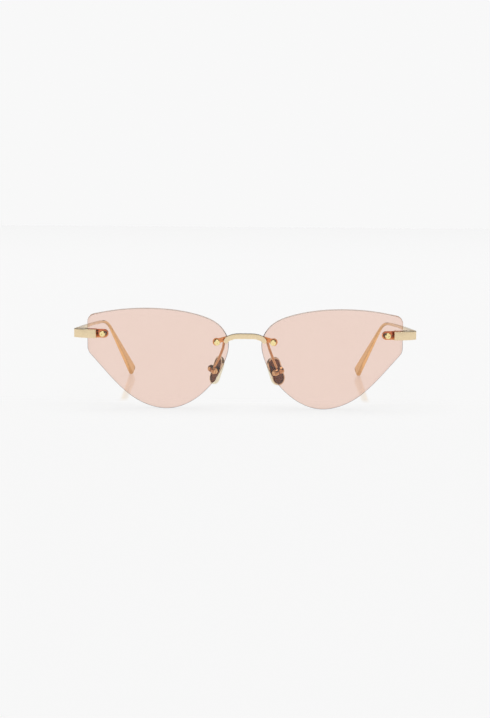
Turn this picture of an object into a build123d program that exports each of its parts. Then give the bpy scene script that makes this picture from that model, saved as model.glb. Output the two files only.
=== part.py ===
"""Rimless cat eye sunglasses: two drilled lenses, a metal bridge, end pieces and folding temples.

Millimetres. X runs to the wearer's left, Y to the back, Z up. The glasses stand open on
their lens bottoms and temple tips, on Z = 0, with the origin at the middle of that footprint.
"""
import math
import os

from build123d import *

# The front: both lenses lean forward at the top and wrap slightly round the face
front_y = -68.6  # plane that touches the lens apexes
lens_centre_z = 21.5
front_tilt = 6.0
lens_wrap = 4.0

# Lenses
lens_apex_x = 36.4
lens_radius = 132.5
lens_thickness = 2.0
lens_outer_x = 65.9
lens_corner_up = 16.4
lens_corner_low = 1.7
lens_corner_radii = (3.2, 4.5)
lens_edge_bevel = 0.15
lens_cut_depth = 20.0

# Bolts that hold the lenses: front head, sleeve in the lens, washers and a nut behind
nasal_bolt_place = (11.7, 6.6)
temporal_bolt_place = (59.4, 9.25)
bolt_diameter = 1.4
bolt_head_diameter = 2.5
bolt_head_height = 0.8
bolt_face_share = 0.8  # flat part of the head's face, as a share of its radius
bolt_dome_radius = 0.4
bolt_socket_radius = 0.5
bolt_socket_depth = 0.35
bolt_length = 5.4
lens_hole_diameter = 2.0
sleeve_diameter = 1.94
washer_diameter = 2.4
washer_thickness = 0.2
nut_radius = 1.25
nut_height = 1.1
play = 0.05
washer_play = 0.01

# Sheet tabs behind the lenses, which the bolts clamp
tab_thickness = 0.9
tab_front = lens_thickness + washer_thickness
tab_back = tab_front + tab_thickness

# End pieces
end_height = 3.6
end_outer_x = 71.7
end_rear_y = front_y + 9.2
claw_start = 2.7
claw_front = 1.0
claw_back = 0.1
slot_end = 7.75
end_reach = 13.8  # along the front, from the bolt, before the ends are cut
end_depth = 10.0
end_edge_radius = 0.25

# Hinges
hinge_x = 67.6
hinge_y = end_rear_y + 1.5
hinge_z = 31.1
knuckle_radius = 1.1
knuckle_gap = 1.3
hinge_height = 3.0
hinge_web = 0.3
hinge_screw_diameter = 1.0
hinge_head_diameter = 1.9
hinge_head_height = 0.4
head_chamfer = 0.1
screw_slot_width = 0.3
hinge_leaf_thickness = 0.8
hinge_leaf_length = 9.0
hinge_leaf_corner = 0.6
hinge_washer_thickness = 0.12

# Temples
temple_gap = 0.1
temple_top_z = 33.1
temple_root_height = 3.3
temple_outer_x = 71.6
temple_root_thickness = 2.7
temple_bend_radius = 20.0
temple_turn_radius = 40.0
tip_radii = (1.2, 0.8)

# Bridge
bridge_front = 1.1
bridge_rear = 0.9
bridge_half = 9.5  # half the width of the stock that the bridge is cut from
bridge_stock = 5.0
eye_radius = 1.6
web_inner = -6.6
web_outer = -5.15

# Nose pads and their arms
arm_diameter = 1.1
arm_bend_radius = 1.6
pad_length = 12.4
pad_width = 6.7
pad_thickness = 1.8
pad_lean = 17.5
pad_rim = 0.6
pad_recess = 0.6
pad_nose_fillet = 1.0
pad_outer_fillet = 0.2
dish_thickness = 0.2
box_height = 2.3
box_radius = 1.5
box_end_fillet = 0.4
box_length = 4.4
box_slot = 1.4
lug_thickness = 1.2
lug_radius = 0.85
pad_screw_diameter = 0.9
pad_screw_head = 0.5
pad_screw_head_radius = 1.0

os.makedirs("parts", exist_ok=True)

tilt = math.radians(front_tilt)
wrap = math.radians(lens_wrap)
FRONT = Plane(
    origin=(0, front_y, lens_centre_z),
    x_dir=(1, 0, 0),
    z_dir=(0, -math.cos(tilt), -math.sin(tilt)),
)
SPHERE_X = lens_apex_x - lens_radius * math.sin(wrap)
SPHERE_FORWARD = -lens_radius * math.cos(wrap)
SPHERE_CENTRE = FRONT.from_local_coords(Vector(SPHERE_X, 0, SPHERE_FORWARD))


def tangent_plane(place):
    """Plane that touches the left lens at (x, up) on the front, with Z pointing out of it."""
    x, up = place
    forward = math.sqrt(lens_radius**2 - (x - SPHERE_X) ** 2 - up**2)
    point = FRONT.from_local_coords(Vector(x, up, SPHERE_FORWARD + forward))
    normal = point - SPHERE_CENTRE
    return Plane(origin=point, x_dir=Vector(0, 0, 1).cross(normal), z_dir=normal)


def plan_plane(plane):
    """Plane through the same origin seen from above: X the same, Y backwards into the lens."""
    return Plane(origin=plane.origin, x_dir=plane.x_dir, z_dir=plane.y_dir)


NASAL = tangent_plane(nasal_bolt_place)
TEMPORAL = tangent_plane(temporal_bolt_place)


def write(piece, name):
    """Label a finished piece and write its STEP file."""
    piece.part.label = name
    export_step(piece.part, f"parts/{name}.step")


def write_side(piece, name, side):
    """Write a piece made for the wearer's left side, mirrored if it goes on the right."""
    if side == "left":
        write(piece, f"{name}_left")
        return
    with BuildPart() as mirrored:
        mirror(piece.part, about=Plane.YZ)
    write(mirrored, f"{name}_right")


def write_pair(piece, name):
    """Write a piece of the wearer's left side and its mirror image."""
    for side in ("left", "right"):
        write_side(piece, name, side)


# ---------------------------------------------------------------- lenses
with BuildPart() as lens:
    with BuildSketch(FRONT.offset(lens_cut_depth / 2)):
        with BuildLine():
            corner_up = (lens_outer_x, lens_corner_up)
            corner_low = (lens_outer_x, lens_corner_low)
            Spline(
                corner_up,
                (54.0, 19.2),
                (38.0, 20.4),
                (20.0, 18.0),
                (10.0, 12.8),
                (6.9, 6.5),
                (8.0, -0.5),
                (15.5, -13.0),
                (31.0, -21.7),
                (43.5, -19.1),
                (54.0, -11.0),
                corner_low,
            )
            Line(corner_low, corner_up)
        make_face()
        fillet(vertices().sort_by(Axis.Y)[-1], lens_corner_radii[0])
        fillet(vertices().group_by(Axis.X)[-1].sort_by(Axis.Y)[0], lens_corner_radii[1])
    extrude(amount=-lens_cut_depth)
    with Locations(SPHERE_CENTRE):
        Sphere(lens_radius, mode=Mode.INTERSECT)
        Sphere(lens_radius - lens_thickness, mode=Mode.SUBTRACT)
    chamfer(faces().sort_by(Axis.Y)[0].outer_wire().edges(), lens_edge_bevel)
    for bolt_plane in (NASAL, TEMPORAL):
        with BuildSketch(bolt_plane):
            Circle(lens_hole_diameter / 2)
        extrude(amount=2 * lens_thickness, both=True, mode=Mode.SUBTRACT)
write_pair(lens, "lens")


# ---------------------------------------------------------------- lens fastenings
def make_bolt(plane):
    """Bolt with a domed round head in front and a hexagon socket in it."""
    head_top = -washer_thickness - bolt_head_height
    head_side = head_top + bolt_head_height / 2
    head_radius = bolt_head_diameter / 2
    face_radius = head_radius * bolt_face_share
    shank_radius = bolt_diameter / 2
    with BuildPart() as bolt:
        with BuildSketch(plan_plane(plane)):
            with BuildLine():
                Line((0, head_top), (face_radius, head_top))
                RadiusArc((face_radius, head_top), (head_radius, head_side), bolt_dome_radius)
                Polyline(
                    (head_radius, head_side),
                    (head_radius, -washer_thickness),
                    (shank_radius, -washer_thickness),
                    (shank_radius, bolt_length),
                    (0, bolt_length),
                    (0, head_top),
                )
            make_face()
        revolve(axis=Axis(plane.origin, plane.z_dir))
        with BuildSketch(plane.offset(-head_top)):
            RegularPolygon(bolt_socket_radius, 6)
        extrude(amount=-bolt_socket_depth, mode=Mode.SUBTRACT)
    return bolt


def make_ring(planes, outer_diameter, thickness):
    """Flat rings on the bolt, one for each plane, each reaching back from its plane."""
    with BuildPart() as ring:
        with BuildSketch(*planes):
            Circle(outer_diameter / 2)
            Circle(bolt_diameter / 2 + play, mode=Mode.SUBTRACT)
        extrude(amount=-thickness)
    return ring


def make_nut(plane):
    """Hexagon nut behind the tab."""
    with BuildPart() as nut:
        with BuildSketch(plane.offset(-tab_back)):
            RegularPolygon(nut_radius, 6)
            Circle(bolt_diameter / 2, mode=Mode.SUBTRACT)
        extrude(amount=-nut_height)
    return nut


for place, bolt_plane in (("nasal", NASAL), ("temporal", TEMPORAL)):
    write_pair(make_bolt(bolt_plane), f"{place}_bolt")
    write_pair(make_ring([bolt_plane], sleeve_diameter, lens_thickness - play), f"{place}_sleeve")
    washer_planes = [
        bolt_plane.offset(washer_thickness),
        bolt_plane.offset(-lens_thickness - washer_play),
    ]
    washers = make_ring(washer_planes, washer_diameter, washer_thickness - washer_play)
    write_pair(washers, f"{place}_washers")
    write_pair(make_nut(bolt_plane), f"{place}_nut")


# ---------------------------------------------------------------- end pieces
with BuildPart() as end_piece:
    with BuildSketch(plan_plane(TEMPORAL)):
        with BuildLine():
            ThreePointArc((claw_start, -claw_front), (8.0, -1.15), (end_reach, 1.4))
            Polyline(
                (end_reach, 1.4),
                (end_reach, end_depth),
                (6.2, end_depth),
                (3.4, tab_back),
                (-end_height / 2, tab_back),
                (-end_height / 2, tab_front),
                (slot_end, tab_front + 4 * play),
                (slot_end, -claw_back),
                (claw_start, -claw_back),
                (claw_start, -claw_front),
            )
        make_face()
    extrude(amount=end_height / 2, both=True)
    with BuildSketch(TEMPORAL.offset(-end_depth - claw_front)):
        Circle(end_height / 2)
        Rectangle(end_reach + 1, end_height, align=(Align.MIN, Align.CENTER))
    extrude(amount=end_depth + 4 * claw_front, mode=Mode.INTERSECT)
    with BuildSketch(TEMPORAL):
        Circle(bolt_diameter / 2 + play)
    extrude(amount=-2 * tab_back, mode=Mode.SUBTRACT)
    split(bisect_by=Plane.YZ.offset(end_outer_x), keep=Keep.BOTTOM)
    split(bisect_by=Plane.XZ.offset(-end_rear_y), keep=Keep.TOP)
    front_face = faces().filter_by(GeomType.CYLINDER).sort_by(SortBy.AREA)[-1]
    fillet(front_face.edges(), end_edge_radius)
write_pair(end_piece, "end_piece")

# ---------------------------------------------------------------- hinges
HINGE = Plane(origin=(hinge_x, hinge_y, hinge_z))
knuckle_reach = hinge_y - end_rear_y
leaf_x = temple_outer_x - temple_root_thickness - hinge_x

with BuildPart() as hinge_front:
    with BuildSketch(HINGE):
        Circle(knuckle_radius)
        with Locations((0, -knuckle_reach / 2)):
            Rectangle(2 * knuckle_radius, knuckle_reach)
    extrude(amount=hinge_height / 2, both=True)
    with BuildSketch(HINGE):
        with Locations((0, hinge_web)):
            Rectangle(3 * knuckle_radius, 2 * knuckle_reach)
    extrude(amount=knuckle_gap / 2, both=True, mode=Mode.SUBTRACT)
    with BuildSketch(HINGE):
        Circle(hinge_screw_diameter / 2)
    extrude(amount=hinge_height, both=True, mode=Mode.SUBTRACT)
write_pair(hinge_front, "hinge_front")

with BuildPart() as hinge_rear:
    with BuildSketch(HINGE):
        Circle(knuckle_radius)
        with Locations((leaf_x / 2, knuckle_radius / 2)):
            Rectangle(leaf_x, 2 * knuckle_radius)
    extrude(amount=hinge_height / 6, both=True)
    with BuildSketch(HINGE):
        with Locations((leaf_x, knuckle_radius + 5 * play)):
            Rectangle(hinge_leaf_thickness, hinge_leaf_length, align=(Align.MAX, Align.MIN))
    extrude(amount=hinge_height / 2 - 4 * play, both=True)
    fillet(edges().filter_by(Axis.X).group_by(Axis.Y)[-1], hinge_leaf_corner)
    with BuildSketch(HINGE):
        Circle(hinge_screw_diameter / 2 + play)
    extrude(amount=hinge_height, both=True, mode=Mode.SUBTRACT)
write_pair(hinge_rear, "hinge_rear")

with BuildPart() as hinge_washers:
    for height in (-knuckle_gap / 2, knuckle_gap / 2 - hinge_washer_thickness):
        with BuildSketch(HINGE.offset(height)):
            Circle(knuckle_radius)
            Circle(hinge_screw_diameter / 2, mode=Mode.SUBTRACT)
        extrude(amount=hinge_washer_thickness)
write_pair(hinge_washers, "hinge_washers")

with BuildPart() as hinge_screw:
    with BuildSketch(HINGE.offset(-hinge_height / 2)):
        Circle(hinge_screw_diameter / 2)
    extrude(amount=hinge_height)
    with BuildSketch(HINGE.offset(hinge_height / 2)):
        Circle(hinge_head_diameter / 2)
    extrude(amount=hinge_head_height)
    chamfer(edges().group_by(Axis.Z)[-1], head_chamfer)
    with BuildSketch(HINGE.offset(hinge_height / 2 + hinge_head_height)):
        Rectangle(hinge_head_diameter * 2, screw_slot_width)
    extrude(amount=-hinge_head_height / 2, mode=Mode.SUBTRACT)
write_pair(hinge_screw, "hinge_screw")

# ---------------------------------------------------------------- temples
SIDE_VIEW = Plane(origin=(0, front_y, 0), x_dir=(0, 1, 0), z_dir=(1, 0, 0))
PLAN_VIEW = Plane(origin=(0, front_y, 0))
root_y = end_rear_y + temple_gap - front_y
temple_inner_x = temple_outer_x - temple_root_thickness
bend_top = (101.5, 29.75)
bend_low = (104.8, 26.25)
shaft_low = (98.0, 28.75)
tip_top = (139.9, 3.6)
tip_low = (137.2, -0.35)
turn_outer = (69.0, 92.0)
turn_inner = (67.8, 93.5)
tip_bevel = Plane(origin=(56.8, 0, -0.35), z_dir=(0.83, 0, 0.56))

with BuildPart() as temple:
    with BuildSketch(SIDE_VIEW):
        with BuildLine():
            ThreePointArc((root_y, temple_top_z), (51.0, 31.9), bend_top)
            Polyline(bend_top, tip_top, tip_low, bend_low, shaft_low)
            Spline(
                shaft_low,
                (73.0, 29.8),
                (38.0, 30.7),
                (root_y + 12, 30.05),
                (root_y + 5, temple_top_z - temple_root_height),
                (root_y, temple_top_z - temple_root_height),
            )
            Line((root_y, temple_top_z - temple_root_height), (root_y, temple_top_z))
        make_face()
        fillet(vertices().sort_by_distance(bend_top)[0], temple_bend_radius)
        fillet(vertices().sort_by_distance(shaft_low)[0], temple_bend_radius)
        fillet(vertices().sort_by_distance(bend_low)[0], temple_bend_radius)
        fillet(vertices().sort_by_distance(tip_top)[0], tip_radii[0])
        fillet(vertices().sort_by_distance(tip_low)[0], tip_radii[1])
    extrude(amount=end_outer_x)
    with BuildSketch(PLAN_VIEW):
        with BuildLine():
            Polyline(
                (temple_inner_x, root_y),
                (temple_outer_x, root_y),
                turn_outer,
                (57.3, 140.5),
                (55.1, 140.5),
                turn_inner,
                (69.0, 40.0),
                (temple_inner_x, root_y + 14),
                (temple_inner_x, root_y),
            )
        make_face()
        fillet(vertices().sort_by_distance(turn_outer)[0], temple_turn_radius)
        fillet(vertices().sort_by_distance(turn_inner)[0], temple_turn_radius)
    extrude(amount=lens_cut_depth * 2, mode=Mode.INTERSECT)
    split(bisect_by=tip_bevel, keep=Keep.TOP)
write_pair(temple, "temple")

# ---------------------------------------------------------------- bridge
with BuildPart() as bridge:
    with BuildSketch(FRONT.offset(bridge_stock)):
        with BuildLine():
            Spline((0, 10.5), (3.6, 10.4), (6.2, 9.85), (7.9, 8.9), (8.8, 7.7))
            ThreePointArc((8.8, 7.7), (8.6, 6.65), (7.6, 6.35))
            Spline((7.6, 6.35), (6.6, 7.35), (5.2, 8.1), (3.4, 8.4), (0, 8.5))
            mirror(about=Plane.YZ)
        make_face()
    extrude(amount=-2 * bridge_stock)
    with BuildSketch(plan_plane(FRONT)):
        with BuildLine():
            ThreePointArc((-bridge_half, 0.1), (0, -bridge_front), (bridge_half, 0.1))
            Polyline((bridge_half, 0.1), (bridge_half, 0.95), (6.6, 1.15))
            ThreePointArc((6.6, 1.15), (0, bridge_rear), (-6.6, 1.15))
            Polyline((-6.6, 1.15), (-bridge_half, 0.95), (-bridge_half, 0.1))
        make_face()
    extrude(amount=3 * bridge_stock, mode=Mode.INTERSECT)
    with BuildSketch(NASAL.offset(-tab_back)):
        Circle(eye_radius)
        with BuildLine():
            Polyline((-0.6, 1.4), (web_inner, 2.9), (web_inner, 1.1), (-0.6, -0.6), close=True)
        make_face()
    extrude(amount=tab_thickness)
    with BuildSketch(NASAL.offset(-tab_back)):
        with BuildLine():
            Polyline(
                (web_inner, 2.9),
                (web_outer, 2.6),
                (web_outer, 0.9),
                (web_inner, 1.1),
                close=True,
            )
        make_face()
    extrude(amount=tab_back + 0.9)
    with BuildSketch(NASAL):
        Circle(bolt_diameter / 2 + play)
    extrude(amount=-2 * tab_back, mode=Mode.SUBTRACT)
    split(bisect_by=Plane.YZ, keep=Keep.TOP)
    mirror(about=Plane.YZ)
write(bridge, "bridge")


# ---------------------------------------------------------------- nose pads
def front_vector(x, up, back):
    """World direction of a vector given across, up and back from the front."""
    return FRONT.x_dir * x + FRONT.y_dir * up - FRONT.z_dir * back


def front_point(x, up, back):
    """World place of a point given across, up and back from the front."""
    return FRONT.origin + front_vector(x, up, back)


def pad_plane(centre, splay):
    """Plane in the middle of a left pad: X towards its rear edge, Z away from the nose."""
    lean = math.radians(pad_lean)
    turn = math.radians(splay)
    down = front_vector(math.sin(lean), -math.cos(lean), 0)
    back = front_vector(math.sin(turn), 0, math.cos(turn))
    across = back - down * back.dot(down)
    return Plane(origin=front_point(*centre), x_dir=across, z_dir=down.cross(across))


def screw_plane(plane):
    """Plane across a pad's screw: Z along the screw to the rear, Y away from the nose."""
    centre = plane.from_local_coords(Vector(0, 0, box_height))
    return Plane(origin=centre, x_dir=plane.y_dir * -1, z_dir=plane.x_dir)


def make_pad(plane):
    """Shaped metal pad, rounded towards the nose and hollowed on the other face."""
    inner = (pad_width - 2 * pad_rim, pad_length - 2 * pad_rim)
    with BuildPart() as pad:
        with BuildSketch(plane.offset(-pad_thickness / 2)):
            RectangleRounded(pad_width, pad_length, pad_width / 2 - 0.1)
        extrude(amount=pad_thickness)
        nose_edges = faces().sort_by(Axis(plane.origin, plane.z_dir))[0].outer_wire().edges()
        fillet(nose_edges, pad_nose_fillet)
        outer_edges = faces().sort_by(Axis(plane.origin, plane.z_dir))[-1].outer_wire().edges()
        fillet(outer_edges, pad_outer_fillet)
        with BuildSketch(plane.offset(pad_thickness / 2)):
            RectangleRounded(*inner, inner[0] / 2 - 0.1)
        extrude(amount=-pad_recess, mode=Mode.SUBTRACT)
    return pad


def make_dish(plane):
    """Thin dark plate on the floor of the pad's hollow."""
    inner = (pad_width - 2 * pad_rim - 4 * play, pad_length - 2 * pad_rim - 4 * play)
    with BuildPart() as dish:
        with BuildSketch(plane.offset(pad_thickness / 2 - pad_recess)):
            RectangleRounded(*inner, inner[0] / 2 - 0.1)
        extrude(amount=dish_thickness)
    return dish


def make_post(plane):
    """Lug that stands on the pad and turns on the screw inside the box."""
    foot = box_height - pad_thickness / 2 + pad_recess - dish_thickness
    with BuildPart() as post:
        with BuildSketch(screw_plane(plane)):
            Circle(lug_radius)
            with Locations((0, -foot / 2)):
                Rectangle(2 * lug_radius, foot)
            Circle(pad_screw_diameter / 2 + play, mode=Mode.SUBTRACT)
        extrude(amount=lug_thickness / 2, both=True)
    return post


def make_box(plane):
    """Round box on the end of the arm, slotted for the pad's lug."""
    cap = lug_radius + 2 * play
    with BuildPart() as box:
        with BuildSketch(screw_plane(plane)):
            Circle(box_radius)
        extrude(amount=box_length / 2, both=True)
        ends = faces().filter_by(GeomType.PLANE)
        fillet(ends.edges(), box_end_fillet)
        with BuildSketch(screw_plane(plane)):
            Circle(pad_screw_diameter / 2)
        extrude(amount=box_length / 2, both=True, mode=Mode.SUBTRACT)
        with BuildSketch(screw_plane(plane)):
            with Locations((0, cap)):
                Rectangle(4 * box_radius, 4 * box_radius, align=(Align.CENTER, Align.MAX))
        extrude(amount=box_slot / 2, both=True, mode=Mode.SUBTRACT)
    return box


def make_pad_screw(plane):
    """Slotted screw through the box and the lug."""
    with BuildPart() as screw:
        with BuildSketch(screw_plane(plane).offset(-box_length / 2)):
            Circle(pad_screw_diameter / 2)
        extrude(amount=box_length)
        with BuildSketch(screw_plane(plane).offset(-box_length / 2)):
            Circle(pad_screw_head_radius)
        extrude(amount=-pad_screw_head)
        with BuildSketch(screw_plane(plane).offset(-box_length / 2 - pad_screw_head)):
            Rectangle(4 * box_radius, screw_slot_width)
        extrude(amount=pad_screw_head / 2, mode=Mode.SUBTRACT)
    return screw


def make_arm(plane, route):
    """Bent wire from the bridge's tab to the top of the pad's box."""
    points = [front_point(*place) for place in route]
    with BuildPart() as arm:
        with BuildLine() as path:
            FilletPolyline(*points, radius=arm_bend_radius)
        with BuildSketch(Plane(origin=path.line @ 0, z_dir=path.line % 0)):
            Circle(arm_diameter / 2)
        sweep()
        with BuildSketch(screw_plane(plane)):
            Circle(box_radius)
        extrude(amount=box_length / 2, both=True, mode=Mode.SUBTRACT)
        with BuildSketch(NASAL.offset(-tab_back)):
            Rectangle(pad_length, pad_length)
        extrude(amount=tab_thickness, mode=Mode.SUBTRACT)
    return arm


pads = (
    (
        "left",
        (12.9, -7.4, 10.5),
        57.0,
        ((8.8, 7.2, 3.6), (9.2, 6.6, 5.6), (10.3, 2.9, 6.3), (11.9, -1.5, 6.9), (13.9, -6.9, 8.6)),
    ),
    (
        "right",
        (11.7, -7.2, 10.5),
        30.0,
        ((8.6, 7.2, 3.6), (8.8, 6.8, 5.1), (9.3, 3.4, 5.4), (10.8, -0.7, 5.9), (13.4, -6.4, 8.7)),
    ),
)
for side, centre, splay, route in pads:
    plane = pad_plane(centre, splay)
    write_side(make_pad(plane), "nose_pad", side)
    write_side(make_dish(plane), "pad_dish", side)
    write_side(make_post(plane), "pad_post", side)
    write_side(make_box(plane), "pad_box", side)
    write_side(make_pad_screw(plane), "pad_screw", side)
    write_side(make_arm(plane, route), "pad_arm", side)
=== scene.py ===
"""Looks for the rimless cat eye sunglasses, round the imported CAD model. Metres, CAD frame."""
import math

import bmesh
import bpy
import numpy as np
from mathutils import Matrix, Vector


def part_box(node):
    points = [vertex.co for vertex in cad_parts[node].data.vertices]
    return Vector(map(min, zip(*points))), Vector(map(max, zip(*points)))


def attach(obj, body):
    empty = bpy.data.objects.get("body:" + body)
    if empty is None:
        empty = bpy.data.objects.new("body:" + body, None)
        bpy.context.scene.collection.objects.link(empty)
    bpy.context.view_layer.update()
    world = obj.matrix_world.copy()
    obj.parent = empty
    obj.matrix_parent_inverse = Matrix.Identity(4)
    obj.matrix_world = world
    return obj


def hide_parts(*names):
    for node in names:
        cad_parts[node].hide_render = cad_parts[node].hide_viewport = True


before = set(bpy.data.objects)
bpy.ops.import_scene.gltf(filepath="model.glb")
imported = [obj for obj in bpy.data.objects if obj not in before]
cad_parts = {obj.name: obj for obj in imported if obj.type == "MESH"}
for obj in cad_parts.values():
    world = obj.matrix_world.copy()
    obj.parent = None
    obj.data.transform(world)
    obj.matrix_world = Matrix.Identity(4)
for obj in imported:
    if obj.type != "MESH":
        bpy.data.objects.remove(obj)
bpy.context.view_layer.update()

MM = 0.001
SIDES = ("left", "right")

# The front leans forward at the top by this angle, as in the CAD; FRONT_BACK points out of its rear
FRONT_TILT = math.radians(6.0)
FRONT_BACK = Vector((0, math.cos(FRONT_TILT), math.sin(FRONT_TILT)))

TEMPLE_START = 9.3 * MM  # from the plane that touches the lens apexes, back to the temples
FRONT_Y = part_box("temple_left")[0].y - TEMPLE_START

# The front of each lens is part of a sphere; this is the left one's centre
LENS_RADIUS = 132.5 * MM
LENS_WRAP = math.radians(4.0)
LENS_APEX = Vector((36.4 * MM, FRONT_Y, 21.5 * MM))
SPHERE_CENTRE = (
    LENS_APEX
    + FRONT_BACK * LENS_RADIUS * math.cos(LENS_WRAP)
    - Vector((LENS_RADIUS * math.sin(LENS_WRAP), 0, 0))
)
LENS_INNER_X = 6.9 * MM
LENS_OUTER_X = 65.9 * MM
LENS_MIDDLE = 0.9 * MM  # about half of the lens thickness
TONE_FADE = 0.4 * MM
OUTER_FADE = 0.5 * MM

# Brightness of the white room and its floor
ROOM = 0.94
FLOOR_GLOW = 1.05
FLOOR_SHINE = 1.02
FLOOR_DIFFUSE = 0.25
FLOOR_MIRROR = 0.3
FLOOR_SIZE = 6.0
MIRROR_START = FRONT_Y + 25 * MM
MIRROR_FULL = FRONT_Y + 38 * MM

# (sine of the height above the horizon, brightness there), up to the soft light overhead
ROOM_LIGHT = ((0.0, ROOM), (0.156, ROOM), (0.24, 0.1), (0.78, 0.1), (0.86, 1.7), (1.0, 1.7))


# ---------------------------------------------------------------- nodes and materials
class Finish:
    """A material with one Principled shader, and short calls for the nodes that feed it."""

    def __init__(self, name, **sockets):
        self.material = bpy.data.materials.new(name)
        self.material.use_nodes = True
        self.tree = self.material.node_tree
        self.shader = self.tree.nodes["Principled BSDF"]
        for socket, value in sockets.items():
            self.shader.inputs[socket.replace("_", " ")].default_value = value

    def node(self, kind, **values):
        made = self.tree.nodes.new(kind)
        for name, value in values.items():
            setattr(made, name, value)
        return made

    def link(self, source, target):
        self.tree.links.new(source, target)

    def place(self, stretch=(1, 1, 1)):
        """Object coordinates in millimetres, times stretch."""
        coordinates = self.node("ShaderNodeTexCoord")
        mapping = self.node("ShaderNodeMapping")
        mapping.inputs["Scale"].default_value = [s / MM for s in stretch]
        self.link(coordinates.outputs["Object"], mapping.inputs["Vector"])
        return mapping.outputs["Vector"]

    def put(self, value, socket):
        """Set the socket to a number or a colour, or link it to another node's output."""
        if isinstance(value, (int, float)):
            socket.default_value = value
        elif isinstance(value, tuple):
            socket.default_value = (*value, 1)
        else:
            self.link(value, socket)

    def axis(self, name, output="Object"):
        """One axis of the object coordinates in metres, or of the object's own normal."""
        coordinates = self.node("ShaderNodeTexCoord")
        separate = self.node("ShaderNodeSeparateXYZ")
        self.link(coordinates.outputs[output], separate.inputs["Vector"])
        return separate.outputs[name]

    def calculate(self, operation, first, second=0.0):
        """Result of a Math node on two values, each a socket or a number."""
        made = self.node("ShaderNodeMath", operation=operation)
        self.put(first, made.inputs[0])
        self.put(second, made.inputs[1])
        return made.outputs[0]

    def noise(self, scale, detail=3.0, stretch=(1, 1, 1)):
        """Noise whose scale is in waves a millimetre."""
        made = self.node("ShaderNodeTexNoise")
        made.inputs["Scale"].default_value = scale
        made.inputs["Detail"].default_value = detail
        self.link(self.place(stretch), made.inputs["Vector"])
        return made.outputs["Fac"]

    def ramp(self, source, *stops):
        """Colours by the source's value. Each stop is (value, colour)."""
        made = self.node("ShaderNodeValToRGB")
        elements = made.color_ramp.elements
        while len(elements) < len(stops):
            elements.new(0.5)
        for element, (value, colour) in zip(elements, stops):
            element.position = value
            element.color = (*colour, 1)
        self.link(source, made.inputs["Fac"])
        return made.outputs["Color"]

    def rescale(self, source, low, high, start=0.3, end=0.7):
        """The source's span from start to end, as low to high."""
        made = self.node("ShaderNodeMapRange")
        for socket, value in zip(("From Min", "From Max", "To Min", "To Max"), (start, end, low, high)):
            made.inputs[socket].default_value = value
        self.link(source, made.inputs["Value"])
        return made.outputs["Result"]

    def mix(self, factor, first, second, blend="MIX"):
        """Two colours, each a tuple or a socket, mixed by a factor."""
        made = self.node("ShaderNodeMix", data_type="RGBA", blend_type=blend)
        for value, socket in ((factor, 0), (first, 6), (second, 7)):
            self.put(value, made.inputs[socket])
        return made.outputs[2]

    def feed(self, socket, source):
        self.link(source, self.shader.inputs[socket])

    def bump(self, source, height):
        """Relief of that height in millimetres."""
        made = self.node("ShaderNodeBump")
        made.inputs["Distance"].default_value = height * MM
        made.inputs["Strength"].default_value = 1.0
        self.link(source, made.inputs["Height"])
        self.feed("Normal", made.outputs["Normal"])


def tone(colour, share):
    return tuple(c * share for c in colour)


def metal(name, colour, roughness, grain, stretch, relief, contrast=0.12):
    """Plated metal: a grain of its own scale and direction, soft smudges and uneven polish."""
    made = Finish(name, Metallic=1.0)
    fine = made.noise(grain, 4.0, stretch)
    smudge = made.noise(0.35, 2.0)
    grained = made.ramp(fine, (0.3, tone(colour, 1 - contrast)), (0.7, tone(colour, 1 + contrast / 3)))
    made.feed("Base Color", made.mix(smudge, grained, tone(colour, 0.93)))
    made.feed("Roughness", made.rescale(fine, roughness * 0.75, roughness * 1.3))
    made.bump(fine, relief)
    return made


ALONG_Y = (3.0, 0.25, 3.0)
CHAMPAGNE = (0.92, 0.745, 0.485)
YELLOW_GOLD = (1.0, 0.84, 0.43)
DEEP_GOLD = (0.84, 0.60, 0.32)
WIRE_GOLD = (0.72, 0.44, 0.21)
PALE_GOLD = (0.88, 0.79, 0.60)
WEAR_START = FRONT_Y + 60 * MM
WEAR_FULL = FRONT_Y + 125 * MM
TEMPLE_GOLD = (0.83, 0.60, 0.30)
TIP_GOLD = (0.86, 0.57, 0.24)
# The tabs behind each lens are painted orange, darker towards the top: painted shade, tinted as by light
# passing the pink lens, not the metal's own colour
TAB_LOW = 29.6 * MM
TAB_HIGH = 32.9 * MM
TAB_LENS_PAINTED_SHADE = (0.92, 0.53, 0.17)
TAB_TOP_PAINTED_SHADE = (0.80, 0.30, 0.10)


# Mask for the painted shade on the tabs and their smoother polish behind the lenses
def behind_lens(made):
    """1 on what lies behind a lens, 0 on what is in front of it or beside it."""
    across = made.calculate("ABSOLUTE", made.axis("X"))
    place = made.node("ShaderNodeCombineXYZ")
    made.link(across, place.inputs["X"])
    for axis in ("Y", "Z"):
        made.link(made.axis(axis), place.inputs[axis])
    reach = made.node("ShaderNodeVectorMath", operation="DISTANCE")
    made.link(place.outputs["Vector"], reach.inputs[0])
    reach.inputs[1].default_value = SPHERE_CENTRE
    deepest = LENS_RADIUS - LENS_MIDDLE
    deep = made.rescale(reach.outputs["Value"], 1.0, 0.0, deepest - TONE_FADE, deepest)
    inner = made.rescale(across, 0.0, 1.0, LENS_INNER_X, LENS_INNER_X + TONE_FADE)
    outer = made.rescale(across, 1.0, 0.0, LENS_OUTER_X - OUTER_FADE, LENS_OUTER_X)
    beside = made.calculate("MULTIPLY", deep, inner)
    return made.calculate("MULTIPLY", beside, outer)


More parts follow.
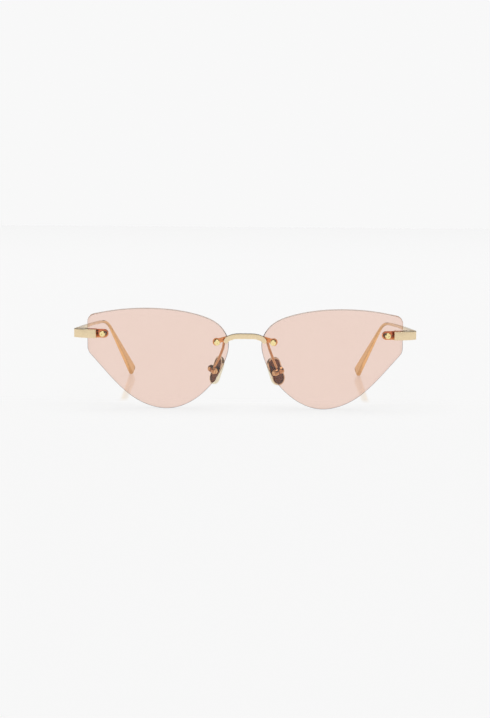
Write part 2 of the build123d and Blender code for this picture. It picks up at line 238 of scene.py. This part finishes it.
def frame_finish():
    """Milled champagne face with an upright grain and fine speckles; behind the lens, painted shade:
    orange, darker towards the top.
    """
    made = Finish("milled_champagne_painted_tab_shade", Metallic=1.0)
    upright = made.noise(2.2, 5.0, (2.6, 2.6, 0.6))
    speckle = made.noise(5.5, 2.0)
    grained = made.ramp(upright, (0.34, tone(CHAMPAGNE, 0.86)), (0.66, tone(CHAMPAGNE, 1.05)))
    speckled = made.mix(made.rescale(speckle, 0.0, 0.35, 0.52, 0.68), grained, tone(CHAMPAGNE, 0.72))
    # Painted shade on the tabs behind the lens: orange, darkening towards the top
    painted_shade_height = made.rescale(made.axis("Z"), 0.0, 1.0, TAB_LOW, TAB_HIGH)
    painted_tab_shade = made.mix(painted_shade_height, TAB_LENS_PAINTED_SHADE, TAB_TOP_PAINTED_SHADE)
    hidden = behind_lens(made)
    made.feed("Base Color", made.mix(hidden, speckled, painted_tab_shade))
    polish = made.rescale(hidden, 1.0, 0.45, 0.0, 1.0)
    made.feed("Roughness", made.calculate("MULTIPLY", made.rescale(upright, 0.26, 0.42), polish))
    made.bump(upright, 0.02)
    return made


def temple_finish():
    """Satin gold with a lengthwise grain, redder towards the tip, where it is handled."""
    made = Finish("satin_temple", Metallic=1.0)
    grain = made.noise(2.0, 4.0, ALONG_Y)
    smudge = made.noise(0.35, 2.0)
    wear = made.rescale(made.axis("Y"), 0.0, 1.0, WEAR_START, WEAR_FULL)
    tint = made.mix(wear, TEMPLE_GOLD, TIP_GOLD)
    streaks = made.ramp(grain, (0.3, (0.9, 0.9, 0.9)), (0.7, (1.03, 1.03, 1.03)))
    grained = made.mix(1.0, tint, streaks, "MULTIPLY")
    clouded = made.ramp(smudge, (0.35, (1.0, 1.0, 1.0)), (0.65, (0.94, 0.94, 0.94)))
    made.feed("Base Color", made.mix(1.0, grained, clouded, "MULTIPLY"))
    made.feed("Roughness", made.rescale(grain, 0.18, 0.31))
    made.bump(grain, 0.006)
    return made


def dish_dark_reflection_finish():
    """Dark plate in the pads' dishes, a painted dark reflection of the surroundings in front, with fine
    mottling.
    """
    made = Finish("painted_dark_reflection", Metallic=1.0)
    cloud = made.noise(1.4, 4.0)
    made.feed("Base Color", made.ramp(cloud, (0.3, (0.11, 0.036, 0.014)), (0.7, (0.21, 0.078, 0.032))))
    made.feed("Roughness", made.rescale(cloud, 0.2, 0.38))
    made.bump(made.noise(6.0, 2.0), 0.008)
    return made


def lens_finish():
    """Pale pink tinted lens, with the faintest unevenness in its dye."""
    made = Finish("pink_tint", Transmission_Weight=1.0, IOR=1.5, Roughness=0.0)
    made.shader.inputs["Specular IOR Level"].default_value = 0.1
    dye = made.noise(0.06, 2.0)
    made.feed("Base Color", made.ramp(dye, (0.25, (0.886, 0.678, 0.594)), (0.75, (0.896, 0.692, 0.608))))
    return made


CORNER_ACROSS = (LENS_OUTER_X - 6 * MM, LENS_OUTER_X - 1.5 * MM)
CORNER_HEIGHT = (31 * MM, 35 * MM)
CORNER_BROWN = (0.50, 0.27, 0.15)


def lens_edge_finish():
    """Ground edge: a painted highlight in clear cream where it faces up, brown at the upper outer
    corner, painted shade in dark mauve elsewhere.
    """
    made = Finish("ground_edge_painted_light", IOR=1.5)
    marks = made.noise(1.2, 4.0)
    # Painted light by the way the edge faces: painted highlight facing up, painted shade on the sides
    # and underneath
    facing_up = made.rescale(made.axis("Z", "Normal"), 0.0, 1.0, 0.35, 0.6)
    dark = made.ramp(marks, (0.3, (0.06, 0.04, 0.045)), (0.7, (0.12, 0.085, 0.09)))
    cream = made.ramp(marks, (0.3, (0.80, 0.66, 0.57)), (0.7, (0.92, 0.80, 0.72)))
    across = made.calculate("ABSOLUTE", made.axis("X"))
    corner_x = made.rescale(across, 0.0, 1.0, *CORNER_ACROSS)
    corner_z = made.rescale(made.axis("Z"), 0.0, 1.0, *CORNER_HEIGHT)
    corner = made.calculate("MULTIPLY", corner_x, corner_z)
    edge = made.mix(facing_up, dark, cream)
    made.feed("Base Color", made.mix(corner, edge, CORNER_BROWN))
    made.feed("Transmission Weight", made.rescale(facing_up, 0.1, 0.95, 0.0, 1.0))
    made.feed("Roughness", made.rescale(marks, 0.3, 0.5))
    made.bump(marks, 0.01)
    return made


def nylon_finish():
    """Clear moulded washers and sleeves, slightly cloudy."""
    made = Finish("clear_nylon_moulded", Transmission_Weight=0.85, IOR=1.53)
    cloud = made.noise(3.0, 2.0)
    made.feed("Base Color", made.ramp(cloud, (0.3, (0.86, 0.84, 0.80)), (0.7, (0.95, 0.94, 0.91))))
    made.feed("Roughness", made.rescale(cloud, 0.12, 0.3))
    return made


FINISHES = {
    "frame_gold": frame_finish(),
    "temple_gold": temple_finish(),
    "hinge_gold": metal("satin_hinge", DEEP_GOLD, 0.3, 4.0, (1, 1, 3), 0.006),
    "arm_gold": metal("drawn_wire", WIRE_GOLD, 0.16, 3.0, (3, 3, 0.4), 0.004),
    "bolt_gold": metal("turned_bolt", YELLOW_GOLD, 0.2, 5.0, (1, 1, 1), 0.004, 0.06),
    "screw_gold": metal("turned_screw", DEEP_GOLD, 0.2, 5.0, (1, 1, 1), 0.006),
    "pad_gold": metal("polished_pad", PALE_GOLD, 0.16, 1.5, (1, 1, 1), 0.004, 0.08),
    # The pads' dishes are painted dark: a painted reflection of dark surroundings, not a dark plating
    "dish_bronze": dish_dark_reflection_finish(),
    "lens_tint": lens_finish(),
    "clear_nylon": nylon_finish(),
}
LENS_EDGE = lens_edge_finish()


def paint_cad_nodes():
    """Each CAD node takes the finish of the record's slot that it came with."""
    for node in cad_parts.values():
        slot = node.material_slots[0]
        slot.material = FINISHES[slot.material.name].material


# ---------------------------------------------------------------- mesh helpers
FACET_ANGLE = math.radians(24)


def stand_in(name, mesh, node, body):
    """A piece that rides on a body and stands for a CAD node, which it hides."""
    piece = bpy.data.objects.new(name, mesh)
    bpy.context.scene.collection.objects.link(piece)
    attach(piece, body)
    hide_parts(node)


def shade(mesh, sharp_angle):
    """Smooth shading that breaks at edges sharper than the angle."""
    mesh.polygons.foreach_set("use_smooth", [True] * len(mesh.polygons))
    mesh.set_sharp_from_angle(angle=sharp_angle)


def new_piece(name, vertices, faces, node, body, slot):
    """A smooth-shaded mesh with sharp facet edges, which stands for a CAD node."""
    mesh = bpy.data.meshes.new(name)
    mesh.from_pydata([tuple(v) for v in vertices], [], faces)
    mesh.validate()
    mesh.update()
    shade(mesh, FACET_ANGLE)
    mesh.materials.append(FINISHES[slot].material)
    stand_in(name, mesh, node, body)


def skin(loops):
    """Vertices and faces of a tube through the loops, capped at both ends."""
    size = len(loops[0])
    vertices = [p for loop in loops for p in loop]
    faces = []
    for row in range(len(loops) - 1):
        for k in range(size):
            a = row * size + k
            b = row * size + (k + 1) % size
            faces.append((a, b, b + size, a + size))
    faces.append(tuple(reversed(range(size))))
    faces.append(tuple(range((len(loops) - 1) * size, len(loops) * size)))
    return vertices, faces


def outward(vertices, faces):
    """The faces, turned round if they enclose a negative volume."""
    points = np.array([tuple(v) for v in vertices])
    volume = 0.0
    for face in faces:
        for k in range(1, len(face) - 1):
            a, b, c = points[face[0]], points[face[k]], points[face[k + 1]]
            volume += float(np.dot(a, np.cross(b, c)))
    return faces if volume > 0 else [tuple(reversed(face)) for face in faces]


def cut(node, point, normal):
    """Points where the plane meets the edges of a CAD node."""
    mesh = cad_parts[node].data
    corners = np.empty(len(mesh.vertices) * 3)
    mesh.vertices.foreach_get("co", corners)
    corners = corners.reshape(-1, 3)
    ends = np.empty(len(mesh.edges) * 2, int)
    mesh.edges.foreach_get("vertices", ends)
    first, second = corners[ends.reshape(-1, 2).T]
    side_first = (first - np.array(point)) @ np.array(normal)
    side_second = (second - np.array(point)) @ np.array(normal)
    crossing = side_first * side_second < 0
    share = side_first[crossing] / (side_first[crossing] - side_second[crossing])
    return first[crossing] + share[:, None] * (second[crossing] - first[crossing])


# ---------------------------------------------------------------- temples
TEMPLE_PIVOT = (95.0, 5.0)  # behind the front and above the floor: the sections turn about it
TEMPLE_DROP = math.radians(34.3)
TEMPLE_CHAMFERS = (0.32, 0.28, 0.22, 0.3)  # outer top, outer low, inner low, inner top
TIP_ROUNDING = 1.4
SHAFT_STEPS = 60
BEND_STEPS = 40
TIP_STEPS = 40
END_STEPS = 14
END_GAP = 0.02 * MM  # the end sections lie this far inside the ends of the CAD temple


def temple_sections(node):
    """(point, normal) of each plane that the temple is cut by, from the hinge to the tip."""
    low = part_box(node)[0]
    pivot = Vector((0, FRONT_Y + TEMPLE_PIVOT[0] * MM, TEMPLE_PIVOT[1] * MM))
    along = Vector((0, 1, 0))
    planes = []
    start = low.y + END_GAP
    for k in range(SHAFT_STEPS + 1):
        planes.append((Vector((0, start + (pivot.y - start) * k / SHAFT_STEPS, 0)), along))
    turned = along
    for k in range(1, BEND_STEPS + 1):
        angle = TEMPLE_DROP * k / BEND_STEPS
        turned = Vector((0, math.cos(angle), -math.sin(angle)))
        planes.append((pivot, turned))
    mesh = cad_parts[node].data
    reach = max((v.co - pivot).dot(turned) for v in mesh.vertices) - END_GAP
    straight = reach - TIP_ROUNDING * MM
    for k in range(1, TIP_STEPS + 1):
        planes.append((pivot + turned * (straight * k / TIP_STEPS), turned))
    for k in range(1, END_STEPS + 1):
        share = math.sin(math.pi / 2 * k / END_STEPS)
        planes.append((pivot + turned * (straight + TIP_ROUNDING * MM * share), turned))
    return planes


def section_corners(points, up, outer):
    """Outer top, outer low, inner low and inner top corners of a four-sided section."""
    across = points[:, 0] * outer
    height = points @ np.array(up)
    width = max(np.ptp(across), 1e-6)
    tall = max(np.ptp(height), 1e-6)
    found = []
    for right, top in ((1, 1), (1, -1), (-1, -1), (-1, 1)):
        best = np.argmax(right * across / width + top * height / tall)
        found.append(Vector(points[best]))
    return found


def chamfered(corners, sizes):
    """Loop round the corners, each cut back by its size on both edges."""
    loop = []
    count = len(corners)
    for k, corner in enumerate(corners):
        for other in (corners[k - 1], corners[(k + 1) % count]):
            edge = other - corner
            size = min(sizes[k] * MM, edge.length * 0.4)
            loop.append(corner + edge.normalized() * size if edge.length > 1e-9 else corner)
    return loop


def make_temple(side):
    node = f"temple_{side}"
    outer = 1 if side == "left" else -1
    loops = []
    for point, normal in temple_sections(node):
        points = cut(node, point, normal)
        if len(points) < 4:
            continue
        up = Vector((1, 0, 0)).cross(normal)
        loops.append(chamfered(section_corners(points, up, outer), TEMPLE_CHAMFERS))
    vertices, faces = skin(loops)
    new_piece(f"{node}_faceted", vertices, outward(vertices, faces), node, node, "temple_gold")


# ---------------------------------------------------------------- bridge and end pieces
SAME_PLANE = math.radians(0.5)
MACHINED_CORNER = math.radians(40)
POLISHED_EDGE = math.radians(35)
EDGE_ROUNDING = 0.16 * MM


def make_softened(node):
    """The CAD piece with its machined edges rounded, as polishing leaves them."""
    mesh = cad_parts[node].data.copy()
    shape = bmesh.new()
    shape.from_mesh(mesh)
    bmesh.ops.remove_doubles(shape, verts=shape.verts, dist=1e-7)
    bmesh.ops.dissolve_limit(shape, angle_limit=SAME_PLANE, verts=shape.verts, edges=shape.edges)
    inside = [edge for edge in shape.edges if len(edge.link_faces) == 2]
    corners = [edge for edge in inside if edge.calc_face_angle() > MACHINED_CORNER]
    bmesh.ops.bevel(
        shape,
        geom=corners,
        offset=EDGE_ROUNDING,
        segments=2,
        profile=0.6,
        affect="EDGES",
        clamp_overlap=True,
    )
    shape.to_mesh(mesh)
    shape.free()
    if mesh.has_custom_normals:
        mesh.attributes.remove(mesh.attributes["custom_normal"])
    shade(mesh, POLISHED_EDGE)
    mesh.materials.clear()
    mesh.materials.append(FINISHES["frame_gold"].material)
    stand_in(f"{node}_polished", mesh, node, "front")


# ---------------------------------------------------------------- lenses
FACE_COSINE = 0.9  # above this, a facet is on the front or back of the lens, not on its edge


def make_lens(side):
    """The CAD lens with a ground finish on its edge and in its drilled holes, coloured with a painted
    highlight where it faces up and painted shade elsewhere.
    """
    node = f"lens_{side}"
    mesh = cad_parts[node].data.copy()
    mesh.materials.clear()
    mesh.materials.append(FINISHES["lens_tint"].material)
    mesh.materials.append(LENS_EDGE.material)
    for face in mesh.polygons:
        face.material_index = 0 if abs(face.normal.dot(FRONT_BACK)) > FACE_COSINE else 1
    stand_in(f"{node}_tinted", mesh, node, "front")


# ---------------------------------------------------------------- room, light and camera
def world_light():
    """White all round up to a height, a dark band above it and a soft light overhead."""
    world = bpy.data.worlds.new("studio")
    bpy.context.scene.world = world
    world.use_nodes = True
    tree = world.node_tree
    background = tree.nodes["Background"]
    coordinates = tree.nodes.new("ShaderNodeTexCoord")
    separate = tree.nodes.new("ShaderNodeSeparateXYZ")
    ramp = tree.nodes.new("ShaderNodeValToRGB")
    elements = ramp.color_ramp.elements
    while len(elements) < len(ROOM_LIGHT):
        elements.new(0.5)
    for element, (value, level) in zip(elements, ROOM_LIGHT):
        element.position = value
        element.color = (level, level, level, 1)
    tree.links.new(coordinates.outputs["Generated"], separate.inputs["Vector"])
    tree.links.new(separate.outputs["Z"], ramp.inputs["Fac"])
    tree.links.new(ramp.outputs["Color"], background.inputs["Color"])


def make_floor():
    """Pale floor that glows evenly, with a faint shine behind the lenses."""
    material = bpy.data.materials.new("pale_floor")
    material.use_nodes = True
    tree = material.node_tree
    tree.nodes.remove(tree.nodes["Principled BSDF"])
    output = tree.nodes["Material Output"]
    glow = tree.nodes.new("ShaderNodeEmission")
    glow.inputs["Color"].default_value = (1, 1, 1, 1)
    glow.inputs["Strength"].default_value = FLOOR_GLOW
    matte = tree.nodes.new("ShaderNodeBsdfDiffuse")
    matte.inputs["Color"].default_value = (0.9, 0.9, 0.9, 1)
    shine = tree.nodes.new("ShaderNodeBsdfGlossy")
    shine.inputs["Color"].default_value = (FLOOR_SHINE, FLOOR_SHINE, FLOOR_SHINE, 1)
    shine.inputs["Roughness"].default_value = 0.08
    base = tree.nodes.new("ShaderNodeMixShader")
    base.inputs["Fac"].default_value = FLOOR_DIFFUSE
    coordinates = tree.nodes.new("ShaderNodeTexCoord")
    separate = tree.nodes.new("ShaderNodeSeparateXYZ")
    behind = tree.nodes.new("ShaderNodeMapRange")
    behind.inputs["From Min"].default_value = MIRROR_START
    behind.inputs["From Max"].default_value = MIRROR_FULL
    behind.inputs["To Min"].default_value = 0.0
    behind.inputs["To Max"].default_value = FLOOR_MIRROR
    top = tree.nodes.new("ShaderNodeMixShader")
    tree.links.new(coordinates.outputs["Object"], separate.inputs["Vector"])
    tree.links.new(separate.outputs["Y"], behind.inputs["Value"])
    tree.links.new(glow.outputs["Emission"], base.inputs[1])
    tree.links.new(matte.outputs["BSDF"], base.inputs[2])
    tree.links.new(behind.outputs["Result"], top.inputs["Fac"])
    tree.links.new(base.outputs["Shader"], top.inputs[1])
    tree.links.new(shine.outputs["BSDF"], top.inputs[2])
    tree.links.new(top.outputs["Shader"], output.inputs["Surface"])
    mesh = bpy.data.meshes.new("floor")
    corners = [(x * FLOOR_SIZE, y * FLOOR_SIZE, 0) for x, y in ((-1, -1), (1, -1), (1, 1), (-1, 1))]
    mesh.from_pydata(corners, [], [(0, 1, 2, 3)])
    mesh.materials.append(material)
    floor = bpy.data.objects.new("floor", mesh)
    bpy.context.scene.collection.objects.link(floor)


CAMERA_DISTANCE = 0.65
CAMERA_HEIGHT = math.radians(5.54)
CAMERA_ROLL = math.radians(0.45)
CAMERA_LENS = 78.45
CAMERA_AIM_Z = 21.31 * MM


def make_camera():
    """Long lens a little above the glasses, aimed at the middle of the front."""
    data = bpy.data.cameras.new("camera")
    data.sensor_width = 36.0
    data.sensor_fit = "AUTO"
    data.lens = CAMERA_LENS
    data.clip_start = 0.01
    camera = bpy.data.objects.new("camera", data)
    aim = Vector((0, FRONT_Y, CAMERA_AIM_Z))
    away = Vector((0, -math.cos(CAMERA_HEIGHT), math.sin(CAMERA_HEIGHT)))
    camera.location = aim + away * CAMERA_DISTANCE
    camera.rotation_mode = "QUATERNION"
    turn = (-away).to_track_quat("-Z", "Y")
    roll = type(turn)((0, 0, 1), CAMERA_ROLL)
    camera.rotation_quaternion = turn @ roll
    bpy.context.scene.collection.objects.link(camera)
    bpy.context.scene.camera = camera


bpy.context.scene.view_settings.view_transform = "Standard"
make_camera()
paint_cad_nodes()
world_light()
make_floor()
for side in SIDES:
    make_temple(side)
    make_lens(side)
    make_softened(f"end_piece_{side}")
make_softened("bridge")
